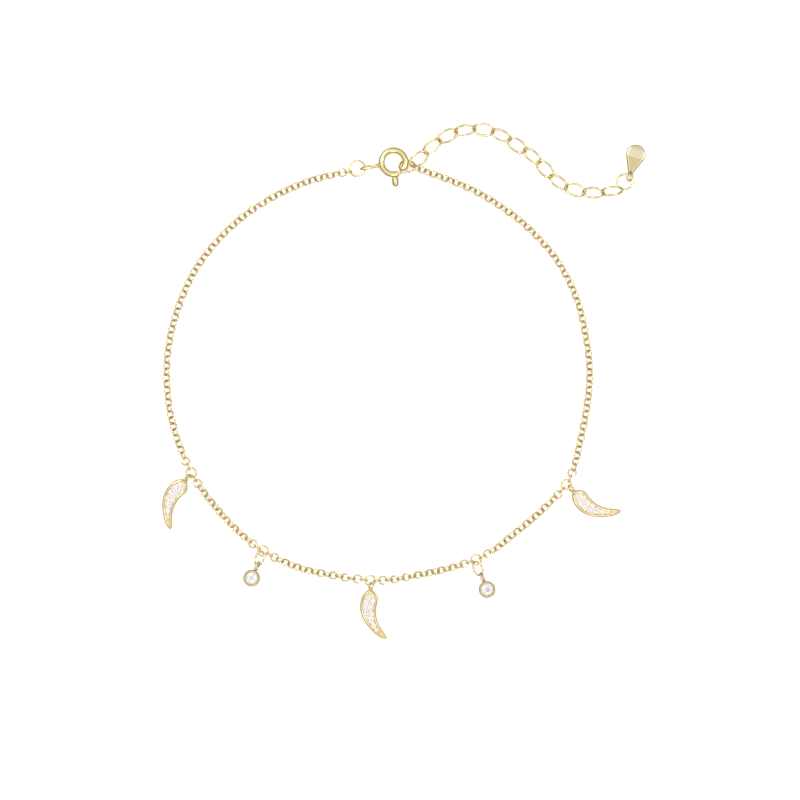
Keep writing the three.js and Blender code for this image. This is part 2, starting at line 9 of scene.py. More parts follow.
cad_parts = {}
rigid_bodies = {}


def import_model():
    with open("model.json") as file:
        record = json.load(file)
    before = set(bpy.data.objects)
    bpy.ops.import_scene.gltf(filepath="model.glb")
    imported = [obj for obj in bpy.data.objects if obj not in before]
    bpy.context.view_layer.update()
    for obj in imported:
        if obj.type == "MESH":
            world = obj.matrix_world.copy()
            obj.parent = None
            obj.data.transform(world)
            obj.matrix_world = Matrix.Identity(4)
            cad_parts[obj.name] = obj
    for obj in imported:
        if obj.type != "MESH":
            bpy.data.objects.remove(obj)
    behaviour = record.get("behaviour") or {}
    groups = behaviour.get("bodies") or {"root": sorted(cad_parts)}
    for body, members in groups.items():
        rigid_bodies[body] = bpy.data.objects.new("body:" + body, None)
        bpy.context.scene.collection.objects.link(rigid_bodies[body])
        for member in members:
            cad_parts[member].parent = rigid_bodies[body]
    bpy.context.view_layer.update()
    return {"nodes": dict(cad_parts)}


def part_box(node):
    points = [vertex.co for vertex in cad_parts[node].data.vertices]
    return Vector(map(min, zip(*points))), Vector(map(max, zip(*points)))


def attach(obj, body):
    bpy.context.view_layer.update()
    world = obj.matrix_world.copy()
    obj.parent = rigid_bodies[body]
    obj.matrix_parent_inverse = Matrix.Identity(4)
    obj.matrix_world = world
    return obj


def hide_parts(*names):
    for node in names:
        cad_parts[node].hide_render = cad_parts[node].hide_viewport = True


for thing in list(bpy.data.objects):  # nothing of the start-up scene is kept
    bpy.data.objects.remove(thing)
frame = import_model()
print("frame: loaded", len(frame["nodes"]), "nodes")

mm = 0.001
up = Vector((0, 0, 1))


# Places and turns

def bearing(start, heading, distance):
    angle = math.radians(heading)
    return start + Vector((math.cos(angle), math.sin(angle), 0)) * distance


def placement(place, heading=0, pitch=0, roll=0):
    turn = Euler((math.radians(roll), -math.radians(pitch), math.radians(heading)), "XYZ")
    return Matrix.Translation(place) @ turn.to_matrix().to_4x4()


def middleOf(node):  # middle of a CAD node's box, in millimetres
    low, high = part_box(node)
    return (low + high) / 2 / mm


def smoothStep(low, high, value):
    share = min(1, max(0, (value - low) / (high - low)))
    return share * share * (3 - 2 * share)


def evenAngles(count, offset=0.0):  # all the way round, in radians
    return [math.tau * (k + offset) / count for k in range(count)]


# Meshes

class Shape:  # points and faces that are gathered before a mesh is made of them
    def __init__(self):
        self.points = []
        self.faces = []

    def add(self, points, faces, matrix=None):
        start = len(self.points)
        self.points.extend((matrix @ p if matrix else p) for p in points)
        self.faces.extend([tuple(start + i for i in face) for face in faces])
        return self

    def take(self, other, matrix=None):
        return self.add(other.points, other.faces, matrix)

    def asObject(self, name, smoothAngle=40):
        mesh = bpy.data.meshes.new(name)
        mesh.from_pydata([p * mm for p in self.points], [], self.faces)
        mesh.validate()
        work = bmesh.new()
        work.from_mesh(mesh)
        bmesh.ops.recalc_face_normals(work, faces=work.faces)
        for face in work.faces:
            face.smooth = smoothAngle > 0
        for edge in work.edges:
            if len(edge.link_faces) == 2 and edge.calc_face_angle(0) > math.radians(smoothAngle):
                edge.smooth = False
        work.to_mesh(mesh)
        work.free()
        piece = bpy.data.objects.new(name, mesh)
        bpy.context.scene.collection.objects.link(piece)
        return piece


def bridged(rows, closed=True, capped=False):  # faces between equal rows of points, each row to the next
    points = [p for row in rows for p in row]
    count = len(rows[0])
    faces = []
    last = len(rows) if closed else len(rows) - 1
    for j in range(last):
        for i in range(count):
            a = j * count + i
            b = j * count + (i + 1) % count
            c = ((j + 1) % len(rows)) * count + (i + 1) % count
            d = ((j + 1) % len(rows)) * count + i
            faces.append((a, b, c, d))
    if capped:
        faces.append(tuple(range(count))[::-1])
        faces.append(tuple(range((len(rows) - 1) * count, len(rows) * count)))
    return Shape().add(points, faces)


def ringOf(long, wide, wire, around=48, sides=12):  # a flat ring or oval link of round wire
    halfLong = (long - wire) / 2
    halfWide = (wide - wire) / 2
    rows = []
    for angle in evenAngles(around):
        middle = Vector((halfLong * math.cos(angle), halfWide * math.sin(angle), 0))
        outward = Vector((halfWide * math.cos(angle), halfLong * math.sin(angle), 0)).normalized()
        rows.append([
            middle + (outward * math.cos(turn) + up * math.sin(turn)) * (wire / 2)
            for turn in evenAngles(sides)
        ])
    return bridged(rows)


def turnedProfile(profile, sides=64):  # (radius, height) points turned about Z, closed at both ends
    rows = [
        [Vector((radius * math.cos(a), radius * math.sin(a), height)) for a in evenAngles(sides)]
        for radius, height in profile[1:-1]
    ]
    body = bridged(rows, closed=False)
    for height, row in ((profile[0][1], 0), (profile[-1][1], len(rows) - 1)):
        tip = len(body.points)
        body.points.append(Vector((0, 0, height)))
        first = row * sides
        body.faces.extend((first + k, first + (k + 1) % sides, tip) for k in range(sides))
    return body


def solderBead(rows, sides):  # a turned bead, its (radius, height) rows given from the middle up
    below = [(radius, -height) for radius, height in reversed(rows[1:])]
    return turnedProfile([*below, *rows], sides)


capAngles = (30, 55, 75)  # the rows of a wire's rounded end


def arcTube(radius, wire, start, end, sides=32, rounded=False, step=3):  # a part of a ring in the XY plane
    steps = max(4, int(abs(end - start) / step))
    stations = [(start + (end - start) * i / steps, 1.0) for i in range(steps + 1)]
    if rounded:
        reach = math.degrees(wire / 2 / radius) * (1 if end > start else -1)
        cap = [(math.sin(t), math.cos(t)) for t in map(math.radians, capAngles)]
        stations = (
            [(start + reach * (1 - far), near) for far, near in reversed(cap)]
            + [s for s in stations if abs(s[0] - start) > abs(reach) and abs(s[0] - end) > abs(reach)]
            + [(end - reach * (1 - far), near) for far, near in cap]
        )
    rows = []
    for angle, share in stations:
        a = math.radians(angle)
        outward = Vector((math.cos(a), math.sin(a), 0))
        rows.append([
            outward * radius + (outward * math.cos(t) + up * math.sin(t)) * (wire / 2 * share)
            for t in evenAngles(sides)
        ])
    return bridged(rows, closed=False, capped=True)


def domed(radius, sides=10, rows=3, top=85):  # a small half ball, its flat side down
    body = []
    for row in range(rows + 1):
        rise = math.radians(top * row / rows)
        across, height = math.cos(rise) * radius, math.sin(rise) * radius
        turns = evenAngles(sides)
        body.append([Vector((across * math.cos(a), across * math.sin(a), height)) for a in turns])
    return bridged(body, closed=False, capped=True)


def combine(piece, operation, other):
    change = piece.modifiers.new(operation.lower(), "BOOLEAN")
    change.operation = operation
    change.solver = "EXACT"
    change.object = other


def reshape(piece, added, removed, sharpAngle=35):  # joins shapes to a piece and takes others away, for good
    for other in added:
        combine(piece, "UNION", other)
    for other in removed:
        combine(piece, "DIFFERENCE", other)
    view = bpy.context.evaluated_depsgraph_get()
    made = bpy.data.meshes.new_from_object(piece.evaluated_get(view))
    piece.modifiers.clear()
    piece.data = made
    for other in (*added, *removed):
        bpy.data.objects.remove(other)
    for edge in made.edges:
        edge.use_edge_sharp = False
    made.set_sharp_from_angle(angle=math.radians(sharpAngle))
    return piece


def dress(piece, material, slot, body, *nodes):
    piece.data.materials.clear()
    piece.data.materials.append(material)
    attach(piece, body)
    if nodes:
        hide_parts(*nodes)
    return piece


# Materials

class Socket:  # a node tree's socket, used in sums
    def __init__(self, tree, link=None):
        self.tree = tree
        self.link = link

    def node(self, kind, settings=None, sockets=None, out=0):
        made = self.tree.nodes.new(kind)
        for name, value in (settings or {}).items():
            if name == "stops":
                while len(made.color_ramp.elements) < len(value):
                    made.color_ramp.elements.new(0.5)
                for stop, (place, colour) in zip(made.color_ramp.elements, value):
                    stop.position = place
                    stop.color = (*colour, 1)
            else:
                setattr(made, name, value)
        for name, value in (sockets or {}).items():
            if isinstance(value, Socket):
                self.tree.links.new(value.link, made.inputs[name])
            else:
                made.inputs[name].default_value = value
        return Socket(self.tree, made.outputs[out] if made.outputs else None)

    def sum(self, operation, first, second=0.0):
        return self.node("ShaderNodeMath", {"operation": operation}, {0: first, 1: second})

    def __add__(self, other):
        return self.sum("ADD", self, other)

    __radd__ = __add__

    def __mul__(self, other):
        return self.sum("MULTIPLY", self, other)

    __rmul__ = __mul__

    def __sub__(self, other):
        return self.sum("SUBTRACT", self, other)

    def __rsub__(self, other):
        return self.sum("SUBTRACT", other, self)

    def __pow__(self, other):
        return self.sum("POWER", self, other)

    def __rpow__(self, other):
        return self.sum("POWER", other, self)

    def blend(self, share, first, second, kind="MIX"):  # two colours, on a colour mix's own sockets
        settings = {"data_type": "RGBA", "blend_type": kind, "clamp_factor": True}
        return self.node("ShaderNodeMix", settings, {0: share, 6: first, 7: second}, out=2)


def newMaterial(name):
    material = bpy.data.materials.new(name)
    material.use_nodes = True
    tree = material.node_tree
    tree.nodes.clear()
    return material, Socket(tree)


def finishMaterial(sheet, sockets):
    surface = sheet.node("ShaderNodeBsdfPrincipled", None, sockets)
    sheet.node("ShaderNodeOutputMaterial", None, {"Surface": surface})


plating = {  # how every gold surface is built up
    "broadDetail": 3.0,
    "fineDetail": 4.0,
    "scratchDetail": 2.0,
    "broadShare": 0.6,
    "nookSamples": 4,
    "nookRoughness": 0.15,
    "fineHeight": 0.3,
    "depth": 0.004,
}


def finishGoldWithPaintedShade(sheet, look, addPaintedLight=lambda colour: colour):
    place = sheet.node("ShaderNodeTexCoord", out="Object")
    broad = sheet.node("ShaderNodeTexNoise", None, {
        "Vector": place,
        "Scale": look["broadScale"],
        "Detail": plating["broadDetail"],
    })
    fine = sheet.node("ShaderNodeTexNoise", None, {
        "Vector": place,
        "Scale": look["fineScale"],
        "Detail": plating["fineDetail"],
    })
    scratches = sheet.node("ShaderNodeTexNoise", None, {
        "Vector": sheet.node("ShaderNodeMapping", None, {"Vector": place, "Scale": look["grain"]}),
        "Scale": look["fineScale"],
        "Detail": plating["scratchDetail"],
    })
    nooks = sheet.node("ShaderNodeAmbientOcclusion", {"samples": plating["nookSamples"]}, {
        "Distance": look["nookReach"] * mm,
    }, out="AO")
    shade = broad * plating["broadShare"] + fine * (1 - plating["broadShare"])
    colour = sheet.blend(shade, look["deep"], look["light"])
    # painted shade: the colour turns to the nook shade where ambient occlusion finds nooks
    withNookShade = sheet.blend(nooks ** look["nookPower"], look["nookShade"], colour)
    dull = (1 - nooks) * plating["nookRoughness"]
    finishMaterial(sheet, {
        # painted light is added here where a material asks for it, as the tag's highlight
        "Base Color": addPaintedLight(withNookShade),
        "Metallic": 1.0,
        "Roughness": look["roughness"] + fine * look["roughSpread"] + dull,
        "Normal": sheet.node("ShaderNodeBump", None, {
            "Height": scratches * look["scratch"] + fine * plating["fineHeight"],
            "Strength": look["bump"],
            "Distance": plating["depth"] * mm,
        }),
    })


def goldMaterial(name, look):
    material, sheet = newMaterial(name)
    finishGoldWithPaintedShade(sheet, look)
    return material


def tagMaterial(name, look, middle, turn):  # with a painted highlight: a bright band across the head, above a slanting edge
    material, sheet = newMaterial(name)
    own = sheet.node("ShaderNodeMapping", {"vector_type": "TEXTURE"}, {
        "Vector": sheet.node("ShaderNodeTexCoord", out="Object"),
        "Location": middle * mm,
        "Rotation": (0, 0, math.radians(turn)),
    })
    along = sheet.node("ShaderNodeSeparateXYZ", None, {"Vector": own}, out="Y")
    edge = sheet.node("ShaderNodeMapRange", {"interpolation_type": "SMOOTHSTEP"}, {
        "Value": along,
        "From Min": -look["edge"] * mm,
        "From Max": look["edge"] * mm,
    })
    fade = sheet.node("ShaderNodeMapRange", {"interpolation_type": "SMOOTHSTEP"}, {
        "Value": along,
        "From Min": look["fadeFrom"] * mm,
        "From Max": look["fadeTo"] * mm,
        "To Min": 1.0,
        "To Max": look["topShare"],
    })

    # the painted highlight, screened over the gold's colour
    def withHighlight(plain):
        return sheet.blend(edge * fade * look["highlightLift"], plain, look["highlightTone"], "SCREEN")

    finishGoldWithPaintedShade(sheet, look, withHighlight)
    return material


def crystalMaterial(name, look):
    material, sheet = newMaterial(name)
    # painted light: each facet's painted shade, with cells that make facets lighter or darker as painted
    # glints
    facet = sheet.node("ShaderNodeAttribute", {"attribute_name": "tone"}, out="Fac")
    flashes = sheet.node("ShaderNodeTexVoronoi", None, {
        "Vector": sheet.node("ShaderNodeTexCoord", out="Object"),
        "Scale": look["flashScale"],
    }, out="Color")
    light = sheet.node("ShaderNodeSeparateColor", None, {"Color": flashes}, out="Red")
    hue = sheet.node("ShaderNodeSeparateColor", None, {"Color": flashes}, out="Green")
    tone = sheet.node("ShaderNodeValToRGB", {"stops": look["facetShades"]}, {
        "Fac": facet + (light - 0.5) * look["flash"],
    })
    tint = sheet.node("ShaderNodeValToRGB", {"stops": look["tints"]}, {"Fac": hue})
    colour = sheet.blend(1.0, tone, tint, "MULTIPLY")
    finishMaterial(sheet, {
        "Base Color": colour,
        "Metallic": look["metallic"],
        "Roughness": look["roughness"],
        "IOR": look["ior"],
        "Specular IOR Level": look["specular"],
        "Coat Weight": look["coat"],
        "Coat Roughness": look["coatRoughness"],
        # painted glow
        "Emission Color": colour,
        "Emission Strength": look["inner"],
    })
    return material


polish = {
    "light": (0.97, 0.82, 0.45, 1),
    "deep": (0.93, 0.75, 0.35, 1),
    # painted shade in the nooks
    "nookShade": (0.72, 0.54, 0.2, 1),
    "nookReach": 0.35,
    "nookPower": 1.0,
    "broadScale": 260.0,
    "fineScale": 2600.0,
    "grain": (1.0, 1.0, 1.0),
    "scratch": 0.25,
    "roughness": 0.13,
    "roughSpread": 0.1,
    "bump": 0.25,
}
softShadedGold = {  # the bezels and the bolt: rougher than the wire, and a darker copy of its gold, which is painted shade
    **polish,
    "light": (0.84, 0.72, 0.43, 1),
    "deep": (0.76, 0.63, 0.34, 1),
    # painted shade in the nooks
    "nookShade": (0.6, 0.46, 0.2, 1),
    "roughness": 0.24,
}
satinWithHighlight = {
    "light": (0.72, 0.6, 0.34, 1),
    "deep": (0.62, 0.51, 0.27, 1),
    "edge": 0.06,  # half the width of the painted highlight band's edge
    "fadeFrom": 0.7,  # where the band begins to fade, above that edge
    "fadeTo": 1.7,
    "topShare": 0.2,  # what is left of it at the top of the head
    # the painted highlight's strength and tone
    "highlightLift": 0.85,
    "highlightTone": (0.4, 0.4, 0.34, 1),
    # painted shade in the nooks
    "nookShade": (0.45, 0.34, 0.15, 1),
    "nookReach": 0.5,
    "nookPower": 1.0,
    "broadScale": 400.0,
    "fineScale": 3000.0,
    "grain": (6.0, 1.0, 1.0),
    "scratch": 0.8,
    "roughness": 0.27,
    "roughSpread": 0.12,
    "bump": 0.5,
}
# the horns' field: a paler, near-white copy of the gold, which is painted light
litField = {
    "light": (0.99, 0.94, 0.84, 1),
    "deep": (0.96, 0.88, 0.74, 1),
    # painted shade in the nooks
    "nookShade": (0.84, 0.73, 0.55, 1),
    "nookReach": 0.25,
    "nookPower": 0.8,
    "broadScale": 900.0,
    "fineScale": 4000.0,
    "grain": (1.0, 1.0, 1.0),
    "scratch": 0.3,
    "roughness": 0.22,
    "roughSpread": 0.1,
    "bump": 0.3,
}
clearCut = {
    # the cells of the painted glints
    "flashScale": 3300.0,
    "flash": 0.35,
    "metallic": 0.25,
    "roughness": 0.04,
    "ior": 2.1,
    "specular": 0.7,
    "coat": 0.4,
    "coatRoughness": 0.02,
    "inner": 0.12,  # painted glow, for light that comes back from inside the stone
    "facetShades": [
        (0.0, (0.3, 0.31, 0.4)),
        (0.25, (0.52, 0.51, 0.6)),
        (0.5, (0.8, 0.78, 0.82)),
        (0.8, (1.0, 0.98, 0.96)),
    ],
    "tints": [
        (0.0, (0.98, 0.93, 0.8)),
        (0.3, (1.0, 1.0, 1.0)),
        (0.7, (0.93, 0.94, 1.0)),
        (1.0, (0.96, 0.9, 0.98)),
    ],
}
gold = goldMaterial("polished_gold", polish)
dullShadedGold = goldMaterial("soft_shaded_gold", softShadedGold)
pave = goldMaterial("lit_field_gold", litField)
crystal = crystalMaterial("cut_crystal", clearCut)
print("materials: made", len(bpy.data.materials))


# The loop's route

layout = {
    "shift": Vector((0.152, -0.189, 0)),  # from the loop's own measures to the frame
    "middle": Vector((-4.05, 1.72, 0)),
    "radii": (  # at every tenth degree, counter-clockwise from +X
        31.7, 31.58, 31.67, 31.56, 31.23, 30.84, 30.62, 30.54, 30.75, 31.0, 30.2, 30.24,
        30.38, 30.66, 30.93, 31.23, 31.37, 31.52, 31.68, 31.73, 31.77, 31.84, 31.74, 31.88,
        31.95, 31.67, 31.28, 31.4, 31.16, 31.42, 31.95, 31.8, 32.22, 32.95, 32.13, 31.76,
    ),
    "stations": (
        ("ring_left_horn", 208.6),
        ("ring_left_drop", 237.5),
        ("ring_centre_horn", 267.9),
        ("ring_right_drop", 297.5),
        ("ring_right_horn", 328.9),
    ),
    "joinPlay": 0.07,
}
loopMiddle = layout["middle"] + layout["shift"]


def catmull(a, b, c, d, t):  # a smooth way from b to c, for t from 0 to 1
    slopeB = (c - a) / 2
    slopeC = (d - b) / 2
    return (
        (2 * t ** 3 - 3 * t ** 2 + 1) * b
        + (t ** 3 - 2 * t ** 2 + t) * slopeB
        + (3 * t ** 2 - 2 * t ** 3) * c
        + (t ** 3 - t ** 2) * slopeC
    )


def loopPoint(angle, height=0.0):
    radii = layout["radii"]
    row = (angle % 360) / (360 / len(radii))
    first = int(row)
    near = [radii[(first + k) % len(radii)] for k in (-1, 0, 1, 2)]
    place = bearing(loopMiddle, angle, catmull(*near, row - first))
    place.z = height
    return place


def loopAngle(place):
    return math.degrees(math.atan2(place.y - loopMiddle.y, place.x - loopMiddle.x)) % 360


# Rings: their sizes, which the chain's ends follow, and how each is turned

rings = {
    "station": {"long": 1.75, "wide": 1.75, "wire": 0.25},
    "hanging": {"long": 2.4, "wide": 1.95, "wire": 0.24},
    "jump": {"long": 2.64, "wide": 2.64, "wire": 0.28},
    "around": 72,
    "sides": 16,
    "hangingTurns": {"left": 250, "right": 290},
    "hangingRoll": 40,
    "jumpTurns": {  # heading, pitch and roll
        "jump_ring_left": (186.5, 0, 0),
        "jump_ring_right": (-17, 13, -35),
        "jump_ring_tag": (30, 0, -12),
    },
    "cleft": 0.035,  # the seam where a jump ring's wire meets, and where it is round the ring
    "cleftAngles": {"jump_ring_left": 62, "jump_ring_right": 118, "jump_ring_tag": -70},
}


# Main chain: real round links, each through the next

chain = {
    "link": 1.4,
    "wire": 0.235,
    "around": 26,
    "sides": 9,
    "pitch": 0.912,
    "longestPitch": 0.925,
    "leadIn": 1.6,  # from a stretch's end to where it follows the loop
    "routeSteps": 240,
    "ringHeight": 0.69,  # of the rings in the loop
    "leastHeight": 0.53,
    "riseLinks": 4,  # over which a stretch comes down from its ring
    "restRoll": 45,
    "rollSpread": 5.0,
    "sway": 0.025,
    "easeLinks": 2.5,  # over which half of an end's own roll is gone
    "calmLinks": 3,  # and the other half
    "calmAtCentre": 16,
    "changeOver": (0.35, 0.65),  # shares of a stretch between which it turns to suit its far end
    "leftEnd": {"ring": "jump_ring_left", "turn": 201.5, "rise": 0.0, "roll": 90},
    "rightEnd": {"ring": "jump_ring_right", "turn": -9, "rise": 0.12, "roll": 45},
    "seed": 11,
}
linkRadius = (chain["link"] - chain["wire"]) / 2


def linkReach(ring):
    wires = (ring["wire"] + chain["wire"]) / 2
    return (ring["long"] - ring["wire"]) / 2 + linkRadius - wires - layout["joinPlay"]


def stationEnd(index, side):
    turn = math.degrees(linkReach(rings["station"]) / layout["radii"][0]) * side
    return {"place": loopPoint(layout["stations"][index][1] + turn, chain["ringHeight"]), "roll": 90}


def jumpEnd(end):
    place = bearing(middleOf(end["ring"]), end["turn"], linkReach(rings["jump"]))
    place.z += end["rise"]
    return {"place": place, "roll": end["roll"]}


def chainRoute(start, end):  # flat points along the loop, from one end of a stretch to the other
    first, last = loopAngle(start["place"]), loopAngle(end["place"])
    if last < first:
        last += 360
    inner = math.degrees(chain["leadIn"] / layout["radii"][0])
    steps = chain["routeSteps"]
    angles = [first + inner + (last - first - 2 * inner) * k / steps for k in range(steps + 1)]
    return [Vector((p.x, p.y, 0)) for p in (start["place"], *map(loopPoint, angles), end["place"])]


def evenPlaces(points, oddOnly):  # equal steps along a line of points, one for each link
    spans = [(b - a).length for a, b in zip(points, points[1:])]
    count = round(sum(spans) / chain["pitch"]) + 1
    while sum(spans) / (count - 1) > chain["longestPitch"] or (oddOnly and count % 2 == 0):
        count += 1
    step = sum(spans) / (count - 1)
    places = [points[0].copy()]
    gone, index = 0.0, 0
    for k in range(1, count - 1):
        while gone + spans[index] < k * step:
            gone += spans[index]
            index += 1
        places.append(points[index].lerp(points[index + 1], (k * step - gone) / spans[index]))
    places.append(points[-1].copy())
    return places


def chainRolls(count, start, end, calms, luck):  # each link's roll, easing from its end's to the chain's own
    rest, ease = chain["restRoll"], chain["easeLinks"]
    endBase = end["roll"] - 90 * ((count - 1) % 2)
    rolls = []
    for k in range(count):
        left = count - 1 - k
        fromStart = (smoothStep(0, ease, k) + smoothStep(0, calms[0], k)) / 2
        fromEnd = (smoothStep(0, ease, left) + smoothStep(0, calms[1], left)) / 2
        startBase = start["roll"] + (rest - start["roll"]) * fromStart
        finishBase = endBase + (rest - endBase) * fromEnd
        base = startBase + (finishBase - startBase) * smoothStep(*chain["changeOver"], k / (count - 1))
        jitter = luck.uniform(-1, 1) * chain["rollSpread"] * min(fromStart, fromEnd)
        rolls.append(base + 90 * (k % 2) + jitter)
    return rolls


def chainStretch(name, start, end, calms, seed):
    luck = random.Random(seed)
    places = evenPlaces(chainRoute(start, end), end["roll"] == chain["restRoll"])
    count = len(places)
    rolls = chainRolls(count, start, end, calms, luck)
    for k, (place, roll) in enumerate(zip(places, rolls)):
        rest = linkRadius * abs(math.sin(math.radians(roll))) + chain["wire"] / 2
        rest = max(rest, chain["leastHeight"])
        nearStart = 1 - smoothStep(0, chain["riseLinks"], k)
        nearEnd = 1 - smoothStep(0, chain["riseLinks"], count - 1 - k)
        place.z = rest + (start["place"].z - rest) * nearStart + (end["place"].z - rest) * nearEnd
    body = Shape()
    link = ringOf(chain["link"], chain["link"], chain["wire"], chain["around"], chain["sides"])
    for k, place in enumerate(places):
        ahead = places[min(count - 1, k + 1)] - places[max(0, k - 1)]
        heading = math.degrees(math.atan2(ahead.y, ahead.x))
        pitch = math.degrees(math.atan2(ahead.z, math.hypot(ahead.x, ahead.y)))
        sway = luck.uniform(-1, 1) * chain["sway"] * (0 if k in (0, count - 1) else 1)
        spot = bearing(place, heading + 90, sway)
        body.take(link, placement(spot, heading, pitch, rolls[k]))
    dress(body.asObject(name + "_links"), gold, "gold", "anklet", name)
    return count


linkCount = 0
calm, wide = chain["calmLinks"], chain["calmAtCentre"]
for name, start, end, calms in (
    ("chain_left_side", jumpEnd(chain["leftEnd"]), stationEnd(0, -1), (calm, calm)),
    ("chain_left", stationEnd(0, 1), stationEnd(1, -1), (calm, calm)),
    ("chain_centre_left", stationEnd(1, 1), stationEnd(2, -1), (calm, wide)),
    ("chain_centre_right", stationEnd(2, 1), stationEnd(3, -1), (wide, calm)),
    ("chain_right", stationEnd(3, 1), stationEnd(4, -1), (calm, calm)),
    ("chain_right_side", stationEnd(4, 1), jumpEnd(chain["rightEnd"]), (calm, calm)),
):
    linkCount += chainStretch(name, start, end, calms, chain["seed"] + linkCount)
print("chain: made", linkCount, "links")


def placedRing(node, sizes, turns, cleftAngle=None):
    if cleftAngle is None:
        ring = ringOf(sizes["long"], sizes["wide"], sizes["wire"], rings["around"], rings["sides"])
    else:  # an open ring, whose two cut ends nearly meet
        reach = (sizes["long"] - sizes["wire"]) / 2
        gap = math.degrees(rings["cleft"] / 2 / reach)
        ring = arcTube(reach, sizes["wire"], cleftAngle + gap, cleftAngle + 360 - gap, rings["sides"])
    piece = Shape().take(ring, placement(middleOf(node), *turns)).asObject(node + "_wire")
    return dress(piece, gold, "gold", "anklet", node)


for node, angle in layout["stations"]:
    placedRing(node, rings["station"], (0, 0, 0))
for side, turn in rings["hangingTurns"].items():
    placedRing(f"ring_{side}_hanging", rings["hanging"], (turn, 0, rings["hangingRoll"]))
for node, turns in rings["jumpTurns"].items():
    placedRing(node, rings["jump"], turns, rings["cleftAngles"][node])
print("rings: made")


# Cut stones, their measures as shares of the width

cut = {
    "sides": 8,
    "fit": 0.995,
    "table": 0.53,
    "heart": 0.36,
    "star": 0.76,
    "starHeight": 0.66,
    "crown": 0.15,
    "girdle": 0.04,
    "pavilion": 0.4,
    "lower": 0.3,
    "lowerDepth": 0.72,
    "spread": 0.24,  # by which a facet's painted shade may stray
    # each kind of facet's painted shade: dark at the heart, light on the kites and stars
    "facetShades": {
        "heart": (0.12, 0.5),
        "inner": 0.45,
        "outer": 0.75,
        "star": 0.75,
        "kite": 0.85,
        "edge": 0.7,
        "rest": 0.4,
    },
}


def cutStone(size, spin, luck):  # a round brilliant, girdle round z 0, and a painted shade for each of its facets
    radius = size / 2
    rise = cut["crown"] * size
    half = cut["girdle"] / 2 * size
    depth = cut["pavilion"] * size
    sides, around = cut["sides"], 2 * cut["sides"]

    def circle(count, share, height, offset=0.0):
        return [
            Vector((math.cos(a + spin) * radius * share, math.sin(a + spin) * radius * share, height))
            for a in evenAngles(count, offset)
        ]

    circles = (
        circle(sides, cut["table"], half + rise),
        circle(sides, cut["heart"], half + rise, 0.5),
        circle(sides, cut["star"], half + rise * cut["starHeight"], 0.5),
        circle(around, 1.0, half),
        circle(around, 1.0, -half),
        circle(sides, cut["lower"], -half - depth * cut["lowerDepth"], 0.5),
    )
    points = [p for row in circles for p in row]
    middle, culet = len(points), len(points) + 1
    points += [Vector((0, 0, half + rise)), Vector((0, 0, -half - depth))]
    table, heart, stars, upper, lower, halves = (sum(map(len, circles[:k])) for k in range(len(circles)))
    facetShades = cut["facetShades"]
    facets = []
    for k in range(sides):
        after, before = (k + 1) % sides, (k - 1) % sides
        girdle, nextGirdle = 2 * k + 1, (2 * k + 2) % around
        facets += [
            ((middle, heart + before, heart + k), facetShades["heart"][k % 2]),
            ((table + k, heart + before, heart + k), facetShades["inner"]),
            ((table + k, heart + k, table + after), facetShades["outer"]),
            ((table + k, stars + k, table + after), facetShades["star"]),
            ((table + k, stars + before, upper + 2 * k, stars + k), facetShades["kite"]),
            ((stars + k, upper + 2 * k, upper + girdle), facetShades["edge"]),
            ((stars + k, upper + girdle, upper + nextGirdle), facetShades["edge"]),
            ((halves + k, culet, halves + after), facetShades["rest"]),
            ((halves + k, lower + girdle, lower + 2 * k), facetShades["rest"]),
            ((halves + k, lower + nextGirdle, lower + girdle), facetShades["rest"]),
            ((halves + k, halves + after, lower + nextGirdle), facetShades["rest"]),
        ]
    for k in range(around):
        after = (k + 1) % around
        facets.append(((upper + k, lower + k, lower + after, upper + after), facetShades["rest"]))
    shades = [tone + luck.uniform(-1, 1) * cut["spread"] for face, tone in facets]
    return Shape().add(points, [face for face, tone in facets]), shades


def stoneBox(node):  # in millimetres
    low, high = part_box(node)
    return {"middle": (low + high) / 2 / mm, "wide": (high.x - low.x) / mm, "top": high.z / mm}


def girdleOf(top, size):  # height of a stone's girdle
    return top - (cut["crown"] + cut["girdle"] / 2) * size


def placedStones(name, nodes, seed):
    luck = random.Random(seed)
    body = Shape()
    shades = []
    for node in nodes:
        box = stoneBox(node)
        place = box["middle"]
        place.z = girdleOf(box["top"], box["wide"])
        stone, facetShades = cutStone(box["wide"] * cut["fit"], luck.uniform(0, math.tau), luck)
        body.take(stone, Matrix.Translation(place))
        shades += facetShades
    piece = body.asObject(name, smoothAngle=0)
    piece.data.attributes.new("tone", "FLOAT", "FACE").data.foreach_set("value", shades)
    return dress(piece, crystal, "crystal", "anklet", *nodes)


# Horn charms

